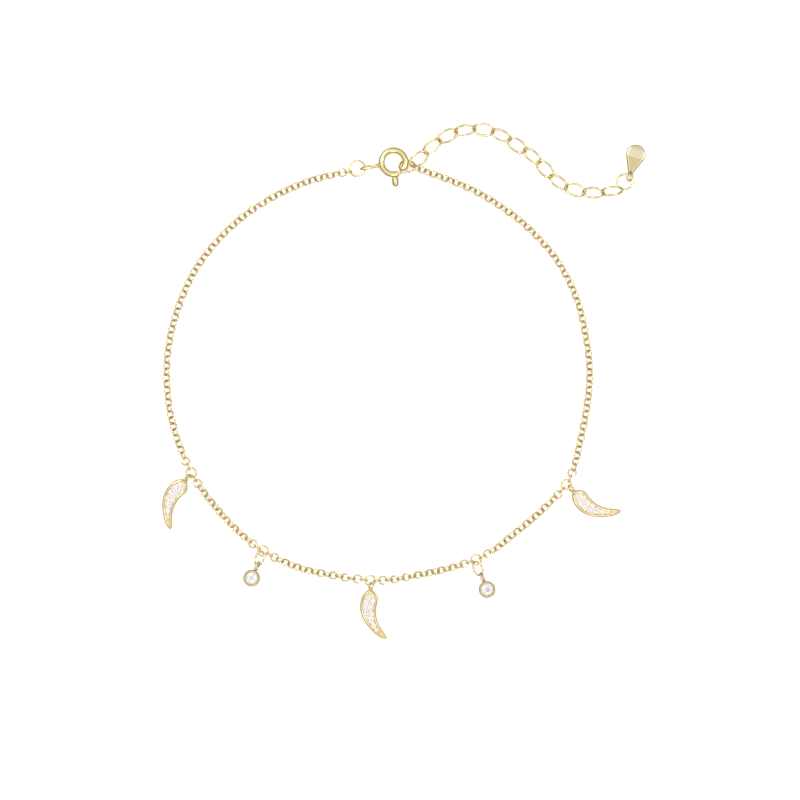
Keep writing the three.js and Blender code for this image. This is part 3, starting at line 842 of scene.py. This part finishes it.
horn = {
    "long": 7.65,
    "thick": 1.1,
    "rim": 0.34,
    "field": 0.7,
    "fieldEnd": 0.84,  # share of the length, where the field rises to the plain tip
    "fieldFade": 0.03,
    "tipDrop": 0.02,
    "footRows": ((0.16, 0.0), (0.05, 0.03), (0.0, 0.14)),  # in from the outline, and height
    "sideRows": (  # in from the outline, and below the top
        (0.0, 0.24), (0.018, 0.19), (0.1, 0.085), (0.135, 0.03), (0.19, 0.0),
    ),
    "lipRows": ((-0.06, 0.004), (-0.02, 0.03)),  # in from the rim's inner side, and below the top
    "wallRows": ((0.0, 0.775), (0.02, 0.075), (0.06, -0.05)),  # the same, and share of the field's depth
    "bedRows": ((-0.02, -0.06), (-0.02, 0.0), (0.2, 0.005)),  # the same, and above the field
    "bail": 1.4,
    "bailWire": 0.26,
    "bailFacets": (56, 14),
    "bailTurn": 60,
    "bailRoll": -65,
    "bailLift": 0.01,
    "solder": 0.25,
    "neckRows": ((0.25, 0), (0.22, 0.15), (0.13, 0.25), (0, 0.28)),
    "neckHeight": 0.62,  # share of the thickness
    "neckFacets": 24,
    "stones": 10,
    "grain": {  # sizes beyond the first as shares of it
        "radius": 0.085,
        "around": 8,
        "start": 22,
        "apart": 2.1,
        "fromStone": 0.75,
        "fromOthers": 0.4,
        "rise": 0.06,
        "inside": 0.9,  # share of the rim that it keeps from the outline
    },
    "outline": (
        (0.0, 0.0), (0.064, -0.068), (0.09, -0.185), (0.057, -0.27), (-0.005, -0.375),
        (-0.047, -0.5), (-0.059, -0.62), (-0.047, -0.745), (-0.012, -0.86), (0.014, -0.965),
        (-0.012, -1.0), (-0.075, -0.968), (-0.15, -0.885), (-0.225, -0.757), (-0.288, -0.6),
        (-0.318, -0.44), (-0.305, -0.29), (-0.262, -0.175), (-0.19, -0.068), (-0.09, -0.008),
    ),
    "places": {
        "left": {"ring": "ring_left_horn", "hangs": 231, "reach": 1.44, "turn": -16.7},
        "centre": {"ring": "ring_centre_horn", "hangs": 270, "reach": 1.43, "turn": 18.3},
        "right": {"ring": "ring_right_horn", "hangs": 315, "reach": 1.5, "turn": 67.8},
    },
}


def closedCurve(points, steps):  # a smooth closed line through points
    count = len(points)
    line = []
    for i in range(count):
        near = [points[(i + k) % count] for k in (-1, 0, 1, 2)]
        line.extend(catmull(*near, step / steps) for step in range(steps))
    return line


def insetRow(points, distance, share=0.86):  # an outline moved inward, less where it is narrow
    count = len(points)
    moved = []
    for i, point in enumerate(points):
        along = (points[(i + 1) % count] - points[i - 1]).normalized()
        inward = Vector((along.y, -along.x, 0))
        room = distance
        for j in range(count):
            gap = min(abs(i - j), count - abs(i - j))
            if gap < 3:
                continue
            away = points[j] - point
            depth = away.dot(inward)
            if depth > 0:
                room = min(room, away.length_squared / (2 * depth) * share)
        moved.append(point + inward * room)
    return moved


def hornPlate():  # the plate with its rim, and the bed of its field
    outline = closedCurve([Vector((x, y, 0)) * horn["long"] for x, y in horn["outline"]], 5)
    thick, field, rim = horn["thick"], horn["field"], horn["rim"]

    def row(distance, height):
        return [Vector((p.x, p.y, height)) for p in insetRow(outline, distance)]

    def sunk(distance, height):  # a row of the field, which rises to the rim at the plain tip
        begin, end = horn["fieldEnd"] - horn["fieldFade"], horn["fieldEnd"] + horn["fieldFade"]
        moved = []
        for p in insetRow(outline, distance):
            tip = smoothStep(begin, end, -p.y / horn["long"])
            moved.append(Vector((p.x, p.y, height + (thick - horn["tipDrop"] - height) * tip)))
        return moved

    rows = [row(inward, height) for inward, height in horn["footRows"]]
    rows += [row(inward, thick - below) for inward, below in horn["sideRows"]]
    rows += [row(rim + inward, thick - below) for inward, below in horn["lipRows"]]
    rows += [sunk(rim + inward, field + share * (thick - field)) for inward, share in horn["wallRows"]]
    bed = [row(rim + inward, field + above) for inward, above in horn["bedRows"]]
    return bridged(rows, closed=False, capped=True), bridged(bed, closed=False, capped=True)


def flatGap(a, b):
    return math.hypot(a.x - b.x, a.y - b.y)


def hornGrains(matrix, nodes):  # the grains that hold the stones, where there is room between them
    grain = horn["grain"]
    size = grain["radius"]
    stones = []
    for box in map(stoneBox, nodes):
        middle = Vector((box["middle"].x, box["middle"].y, horn["field"]))
        stones.append((middle, box["wide"] / 2))
    outline = [matrix @ (Vector((x, y, 0)) * horn["long"]) for x, y in horn["outline"]]
    grains = []
    for middle, radius in stones:
        for k in range(grain["around"]):
            turn = 360 / grain["around"] * k + grain["start"]
            spot = bearing(middle, turn, radius + size * grain["fromStone"])
            clear = all(flatGap(spot, m) > r + size * grain["fromOthers"] for m, r in stones)
            apart = all((spot - other).length > size * grain["apart"] for other in grains)
            edge = min(flatGap(spot, p) for p in outline)
            if clear and apart and edge > horn["rim"] * grain["inside"]:
                grains.append(spot)
    return grains


for side, place in horn["places"].items():
    stoneNodes = [f"stone_{side}_{k + 1}" for k in range(horn["stones"])]
    top = bearing(middleOf(place["ring"]), place["hangs"], place["reach"])
    top.z = 0
    matrix = placement(top, place["turn"])
    plate, bed = hornPlate()
    body = Shape().take(plate, matrix)
    field = Shape().take(bed, matrix)
    for spot in hornGrains(matrix, stoneNodes):
        field.take(domed(horn["grain"]["radius"]), Matrix.Translation(spot + up * horn["grain"]["rise"]))
    dress(field.asObject(f"horn_{side}_field", smoothAngle=50), pave, "gold", "anklet")
    bailFoot = up * (horn["bail"] / 2 + horn["bailLift"])
    bailPlace = bearing(bailFoot, horn["bailTurn"], horn["bail"] / 2 - horn["solder"] / 2)
    bail = ringOf(horn["bail"], horn["bail"], horn["bailWire"], *horn["bailFacets"])
    body.take(bail, matrix @ placement(bailPlace, horn["bailTurn"], 0, horn["bailRoll"]))
    neckPlace = up * horn["thick"] * horn["neckHeight"]
    body.take(solderBead(horn["neckRows"], horn["neckFacets"]), matrix @ Matrix.Translation(neckPlace))
    dress(body.asObject(f"horn_{side}_setting", smoothAngle=32), gold, "gold", "anklet", f"horn_{side}")
    placedStones(f"horn_{side}_stones", stoneNodes, side)
print("horns: made")


# Bezel-set drops

drop = {
    "wide": 2.5,
    "high": 1.25,
    "stone": 1.96,
    "facets": 72,
    "sideRows": ((0.34, 0.0), (0.27, 0.03), (0.06, 0.42), (0.01, 0.8)),  # in from the width, and height
    "rimRows": ((0.0, 0.22), (0.02, 0.15), (0.1, 0.05), (0.15, 0.0), (0.19, 0.005)),  # and below the top
    "mouthRows": ((0.02, 0.06), (0.0, 0.12)),  # out from the mouth, and below the top
    "mouthPlay": 0.015,
    "seatDepth": 0.07,  # below the stone's girdle
    "seatShare": 0.9,
    "seatSlope": 0.08,
    "hollow": 0.83,  # how far below the girdle the cup's hollow ends
    "bailLong": 1.8,
    "bailWide": 1.5,
    "bailWire": 0.26,
    "bailFacets": (56, 14),
    "bailRoll": 75,
    "bailLift": 0.01,
    "solder": 0.25,
    "cupTurns": {"left": 245, "right": 292},
}


def bezelCup(girdleHeight):
    radius, high = drop["wide"] / 2, drop["high"]
    mouth = drop["stone"] / 2 + drop["mouthPlay"]
    seat = girdleHeight - drop["seatDepth"]
    profile = [(0, 0)]
    profile += [(radius - inward, height) for inward, height in drop["sideRows"]]
    profile += [(radius - inward, high - below) for inward, below in drop["rimRows"]]
    profile += [(mouth + outward, high - below) for outward, below in drop["mouthRows"]]
    profile += [(mouth, seat), (mouth * drop["seatShare"], seat - drop["seatSlope"])]
    profile.append((0, girdleHeight - drop["hollow"]))
    return turnedProfile(profile, drop["facets"])


for side, turn in drop["cupTurns"].items():
    stoneNode = f"stone_{side}_drop"
    box = stoneBox(stoneNode)
    foot = Vector((box["middle"].x, box["middle"].y, 0))
    body = Shape().take(bezelCup(girdleOf(box["top"], drop["stone"])), Matrix.Translation(foot))
    reach = drop["wide"] / 2 + drop["bailLong"] / 2 - drop["solder"]
    bailPlace = bearing(foot + up * (drop["bailWide"] / 2 + drop["bailLift"]), turn + 180, reach)
    bail = ringOf(drop["bailLong"], drop["bailWide"], drop["bailWire"], *drop["bailFacets"])
    body.take(bail, placement(bailPlace, turn + 180, 0, drop["bailRoll"]))
    dress(body.asObject(f"bezel_{side}_cup", smoothAngle=32), dullShadedGold, "gold", "anklet", f"bezel_{side}")
    placedStones(f"bezel_{side}_stone", [stoneNode], side + "drop")
print("drops: made")


# Spring-ring clasp

clasp = {
    "place": Vector((-1.568, 32.751, 0.82)),
    "ring": 4.5,
    "tube": 0.9,
    "tubeFacets": 40,
    "wall": 0.16,
    "boreFacets": 24,
    "collar": 1.08,
    "collarTurn": 18,
    "gapFrom": -68,
    "gapTo": -35,
    "underCollar": 1.5,  # degrees, by which the tube ends inside the collar
    "past": 4,  # degrees, by which the bore's cuts pass the gap's sides
    "tipInto": 6,
    "pocket": 10,
    "boltWire": 0.44,
    "boltFacets": 20,
    "boltTail": 31,
    "boltTravel": 42,
    "tailPlay": 5,
    "knobAngle": -85,
    "knobWide": 0.98,
    "knobReach": 1.35,
    "knobNeck": 0.28,
    "knobGap": 0.06,
    "knobFoot": ((0.72, 0.0), (0.92, 0.07), (1.0, 0.24)),  # share of its radius, and out from its foot
    "knobRows": 8,
    "knobFacets": 36,
    "slotPlay": 0.05,
    "slotPast": 0.2,
    "slotSteps": 24,
    "loopLong": 3.15,
    "loopWide": 1.4,
    "loopWire": 0.4,
    "loopFacets": (72, 18),
    "loopTurn": 191.4,
    "loopRoll": 72,
    "solder": 0.25,
    "beadRows": ((0.33, 0), (0.29, 0.16), (0.16, 0.3), (0, 0.34)),
    "beadSink": 0.06,
    "beadFacets": 28,
}
claspRadius = (clasp["ring"] - clasp["tube"]) / 2
claspMatrix = Matrix.Translation(clasp["place"])


def claspBody():
    bore = clasp["tube"] - 2 * clasp["wall"]
    knob, travel, past = clasp["knobAngle"], clasp["boltTravel"], clasp["past"]
    gapFrom, gapTo = clasp["gapFrom"], clasp["gapTo"]
    facets = clasp["tubeFacets"]
    tube = arcTube(claspRadius, clasp["tube"], gapTo + clasp["underCollar"], 360 + gapFrom, facets)
    collar = arcTube(claspRadius, clasp["collar"], gapTo, gapTo + clasp["collarTurn"], facets)
    channelEnd = knob - clasp["boltTail"] - travel - clasp["tailPlay"]
    channel = arcTube(claspRadius, bore, gapFrom + past, channelEnd, clasp["boreFacets"])
    pocket = arcTube(claspRadius, bore, gapTo - past, gapTo + clasp["pocket"], clasp["boreFacets"])
    high = clasp["knobNeck"] / 2 + clasp["slotPlay"]
    neckHalf = math.degrees(high / claspRadius)
    outer = clasp["ring"] / 2 + clasp["slotPast"]
    slotRows = []
    for k in range(clasp["slotSteps"] + 1):
        angle = knob - travel - neckHalf + (travel + 2 * neckHalf) * k / clasp["slotSteps"]
        near, far = bearing(Vector(), angle, claspRadius), bearing(Vector(), angle, outer)
        slotRows.append([near - up * high, far - up * high, far + up * high, near + up * high])
    slot = bridged(slotRows, closed=False, capped=True)
    piece = Shape().take(tube, claspMatrix).asObject("clasp_tube")
    band = Shape().take(collar, claspMatrix).asObject("band")
    tools = [
        Shape().take(shape, claspMatrix).asObject("tool", smoothAngle=0)
        for shape in (channel, pocket, slot)
    ]
    return dress(reshape(piece, [band], tools), gold, "gold", "anklet", "clasp_body")


def claspLoop():
    turn, solder = clasp["loopTurn"], clasp["solder"]
    place = bearing(clasp["place"], turn, clasp["ring"] / 2 + clasp["loopLong"] / 2 - solder)
    oval = ringOf(clasp["loopLong"], clasp["loopWide"], clasp["loopWire"], *clasp["loopFacets"])
    loop = Shape().take(oval, placement(place, turn, 0, clasp["loopRoll"]))
    beadPlace = bearing(clasp["place"], turn, clasp["ring"] / 2 - clasp["beadSink"])
    loop.take(solderBead(clasp["beadRows"], clasp["beadFacets"]), Matrix.Translation(beadPlace))
    return dress(loop.asObject("clasp_loop"), gold, "gold", "anklet")


def claspBolt():
    foot, neck = clasp["ring"] / 2 + clasp["knobGap"], clasp["knobNeck"] / 2
    radius, end = clasp["knobWide"] / 2, foot + clasp["knobReach"]
    profile = [(0, claspRadius), (neck, claspRadius), (neck, foot)]
    profile += [(radius * share, foot + outward) for share, outward in clasp["knobFoot"]]
    for step in range(1, clasp["knobRows"]):
        angle = math.radians(90 * step / clasp["knobRows"])
        profile.append((radius * math.cos(angle), end - radius * (1 - math.sin(angle))))
    profile.append((0, end))
    knobTurn = placement(clasp["place"], clasp["knobAngle"]) @ Matrix.Rotation(math.pi / 2, 4, "Y")
    tail, tip = clasp["knobAngle"] - clasp["boltTail"], clasp["gapTo"] + clasp["tipInto"]
    wire = arcTube(claspRadius, clasp["boltWire"], tail, tip, clasp["boltFacets"], rounded=True)
    bolt = Shape().take(wire, claspMatrix)
    bolt.take(turnedProfile(profile, clasp["knobFacets"]), knobTurn)
    return dress(bolt.asObject("clasp_bolt_knob"), dullShadedGold, "gold", "clasp_bolt", "clasp_bolt")


claspBody()
claspLoop()
claspBolt()
print("clasp: made")


# Extender: loose oval links

extender = {
    "long": 3.36,
    "slack": 0.07,  # by which a loose link is longer than the fused one
    "wide": 2.25,
    "wire": 0.32,
    "links": 13,
    "bite": 0.05,
    "around": 64,
    "sides": 14,
    "roll": 35,
    "lastRoll": 55,
    "firstTurn": 33,
    "firstStart": 0.58,
    "firstHeading": 34,
    "route": (  # counted in links from the first link's middle
        (0.014, 0.045), (0.747, 0.713), (1.487, 1.218), (2.372, 1.532), (3.328, 1.597), (4.267, 1.363),
        (5.332, 0.713), (6.216, 0.088), (6.895, -0.623), (7.606, -1.291), (8.545, -1.706), (9.538, -1.832),
        (10.404, -1.753), (11.235, -1.34),
    ),
}


def centripetal(points, steps=60):  # a smooth line through points, sampled closely
    ends = [points[0] * 2 - points[1], *points, points[-1] * 2 - points[-2]]
    line = []
    for a, b, c, d in zip(ends, ends[1:], ends[2:], ends[3:]):
        spans = [max((q - p).length ** 0.5, 1e-4) for p, q in ((a, b), (b, c), (c, d))]
        t1 = (b - a) / spans[0] - (c - a) / (spans[0] + spans[1]) + (c - b) / spans[1]
        t2 = (c - b) / spans[1] - (d - b) / (spans[1] + spans[2]) + (d - c) / spans[2]
        t1 *= spans[1]
        t2 *= spans[1]
        for k in range(steps):
            t = k / steps
            bend = (b * -3 + c * 3 - t1 * 2 - t2) * t ** 2 + (b * 2 - c * 2 + t1 + t2) * t ** 3
            line.append(b + t1 * t + bend)
    return line + [points[-1]]


def extenderRoll(index):
    if index == extender["links"] - 1:
        return extender["lastRoll"]
    return -extender["roll"] if index % 2 else extender["roll"]


def extenderPlaces():
    pitch = extender["long"] - 2 * extender["wire"] + extender["bite"]
    ring = middleOf("jump_ring_right")
    ring.z = 0
    firstReach = extender["firstStart"] + (extender["long"] - extender["wire"]) / 2
    places = [bearing(ring, extender["firstTurn"], firstReach)]
    line = centripetal([Vector((x, y, 0)) * pitch + places[0] for x, y in extender["route"]])
    index = 0
    while len(places) < extender["links"]:
        last = places[-1]
        while index < len(line) - 1 and (line[index] - last).length < pitch:
            index += 1
        places.append(last + (line[index] - last).normalized() * pitch)
    half = (extender["wide"] - extender["wire"]) / 2
    for k, place in enumerate(places):
        place.z = half * abs(math.sin(math.radians(extenderRoll(k)))) + extender["wire"] / 2
    return places


places = extenderPlaces()
links = Shape()
ovalSize = (extender["long"] + extender["slack"], extender["wide"], extender["wire"])
oval = ringOf(*ovalSize, extender["around"], extender["sides"])
for k, place in enumerate(places):
    ahead = places[min(len(places) - 1, k + 1)] - places[max(0, k - 1)]
    heading = extender["firstHeading"] if k == 0 else math.degrees(math.atan2(ahead.y, ahead.x))
    links.take(oval, placement(place, heading, 0, extenderRoll(k)))
dress(links.asObject("extender_links"), gold, "gold", "anklet", "extender_chain")


# Tag

tag = {
    "reach": 1.04,
    "reachTurn": 46,
    "turn": -16,
    "head": 2.9,
    "headSteps": 60,
    "long": 4.45,
    "neck": 0.6,
    "thick": 0.46,
    "footRows": ((0.1, 0.0), (0.03, 0.02), (0.0, 0.08)),  # in from the outline, and height
    "sideRows": (  # in from the outline, and below the top
        (0.0, 0.18), (0.02, 0.13), (0.1, 0.03), (0.15, 0.0), (0.4, -0.006),
    ),
    "loop": 1.42,
    "loopWire": 0.3,
    "loopFacets": (56, 16),
    "loopRoll": 34,
    "loopHeight": 0.52,
    "loopSink": 0.04,
    "highlightAt": 2.5,  # where the painted highlight band begins, up from the neck
}


def tagPlate():
    radius, neck, thick = tag["head"] / 2, tag["neck"] / 2, tag["thick"]
    middle = tag["long"] - radius
    slope = math.asin((radius - neck) / middle)
    outline = []
    for k in range(tag["headSteps"] + 1):  # round the head, from the right side to the left
        angle = -slope + (math.pi + 2 * slope) * k / tag["headSteps"]
        outline.append(Vector((math.cos(angle) * radius, middle + math.sin(angle) * radius, 0)))
    left, right = outline[-1], outline[0]
    outline += [left.lerp(Vector((-neck, 0, 0)), k / 10) for k in range(1, 11)]
    outline += [Vector((-neck + 2 * neck * k / 4, 0, 0)) for k in range(1, 4)]
    outline += [Vector((neck, 0, 0)).lerp(right, k / 10) for k in range(10)]
    outline.reverse()  # the same way round as the horns
    profile = [*tag["footRows"], *((inward, thick - below) for inward, below in tag["sideRows"])]
    rows = [
        [Vector((p.x, p.y, height)) for p in insetRow(outline, inward, 0.9)]
        for inward, height in profile
    ]
    return bridged(rows, closed=False, capped=True)


hold = bearing(middleOf("jump_ring_tag"), tag["reachTurn"], tag["reach"])
loopDrop = tag["loop"] / 2 - tag["loopWire"] / 2 - tag["loopSink"]
tagPlace = bearing(Vector((hold.x, hold.y, 0)), 90 + tag["turn"], loopDrop)
tagMatrix = placement(tagPlace, tag["turn"])
loopMatrix = tagMatrix @ placement(Vector((0, -loopDrop, tag["loopHeight"])), 90, 0, tag["loopRoll"])
loop = Shape().take(ringOf(tag["loop"], tag["loop"], tag["loopWire"], *tag["loopFacets"]), loopMatrix)
dress(loop.asObject("tag_loop"), gold, "gold", "anklet")
tagGold = tagMaterial("satin_gold_painted_highlight", satinWithHighlight, tagMatrix @ Vector((0, tag["highlightAt"], 0)), tag["turn"])
dress(Shape().take(tagPlate(), tagMatrix).asObject("tag_plate"), tagGold, "tag_gold", "anklet", "tag")
print("extender and tag: made")


# Floor, light and camera

studio = {
    "floorSize": 1.2,
    # painted shade: the floor darkens where it is seen at a slant; and a painted glow where it is seen from
    # above
    "floorSlantShade": [(0.05, (0.8, 0.8, 0.8)), (0.3, (0.6, 0.59, 0.58)), (0.7, (0.5, 0.49, 0.48))],
    "floorGlow": [(0.05, (0.5, 0.5, 0.5)), (0.25, (0.0, 0.0, 0.0))],
    "floorRoughness": 0.8,
    "floorShine": 0.1,
    "skyTones": [
        (0.0, (0.26, 0.25, 0.23)),
        (0.35, (0.35, 0.34, 0.32)),
        (0.7, (0.75, 0.74, 0.72)),
        (0.95, (0.95, 0.95, 0.95)),
    ],
    "skyStrength": 1.0,
    "lamps": (
        {"name": "key", "place": (-0.22, 0.26, 0.5), "size": 0.26, "power": 0.9},
        {"name": "fill", "place": (0.34, 0.05, 0.42), "size": 0.22, "power": 0.35},
        {"name": "front", "place": (0.02, -0.36, 0.4), "size": 0.24, "power": 0.35},
    ),
    "viewCentre": Vector((-0.604, -2.823, 0)),
    "field": 120.0,  # across the picture, in millimetres
    "lens": 100,
    "sensor": 36,
    "clip": (0.01, 10),
}
half = studio["floorSize"] / 2
corners = [(-half, -half, 0), (half, -half, 0), (half, half, 0), (-half, half, 0)]
floorMesh = bpy.data.meshes.new("floor")
floorMesh.from_pydata(corners, [], [(0, 1, 2, 3)])
floor = bpy.data.objects.new("floor", floorMesh)
bpy.context.scene.collection.objects.link(floor)
floorMaterial, sheet = newMaterial("white_floor")
# how much the floor is seen at a slant, for its painted shade and painted glow
slant = sheet.node("ShaderNodeLayerWeight", None, {"Blend": 0.5}, out="Facing")
finishMaterial(sheet, {
    "Base Color": sheet.node("ShaderNodeValToRGB", {"stops": studio["floorSlantShade"]}, {"Fac": slant}),
    "Roughness": studio["floorRoughness"],
    "Specular IOR Level": studio["floorShine"],
    "Emission Color": sheet.node("ShaderNodeValToRGB", {"stops": studio["floorGlow"]}, {"Fac": slant}),
    "Emission Strength": 1.0,
})
floorMesh.materials.append(floorMaterial)

world = bpy.data.worlds.new("studio")
bpy.context.scene.world = world
world.use_nodes = True
world.node_tree.nodes.clear()
sky = Socket(world.node_tree)
around = sky.node("ShaderNodeTexCoord", out="Generated")
height = sky.node("ShaderNodeSeparateXYZ", None, {"Vector": around}, out="Z")
glow = sky.node("ShaderNodeValToRGB", {"stops": studio["skyTones"]}, {"Fac": height})
background = sky.node("ShaderNodeBackground", None, {"Color": glow, "Strength": studio["skyStrength"]})
sky.node("ShaderNodeOutputWorld", None, {"Surface": background})

for lamp in studio["lamps"]:
    light = bpy.data.lights.new(lamp["name"], "AREA")
    light.shape = "DISK"
    light.size = lamp["size"]
    light.energy = lamp["power"]
    holder = bpy.data.objects.new(lamp["name"], light)
    holder.location = lamp["place"]
    holder.rotation_euler = (-Vector(lamp["place"])).to_track_quat("-Z", "Y").to_euler()
    bpy.context.scene.collection.objects.link(holder)

camera = bpy.data.objects.new("camera", bpy.data.cameras.new("camera"))
camera.data.lens = studio["lens"]
camera.data.sensor_width = studio["sensor"]
distance = studio["field"] * studio["lens"] / studio["sensor"]
camera.location = (studio["viewCentre"] + up * distance) * mm
camera.data.clip_start, camera.data.clip_end = studio["clip"]
bpy.context.scene.collection.objects.link(camera)
bpy.context.scene.camera = camera
bpy.context.scene.view_settings.view_transform = "Standard"
print("studio: made")
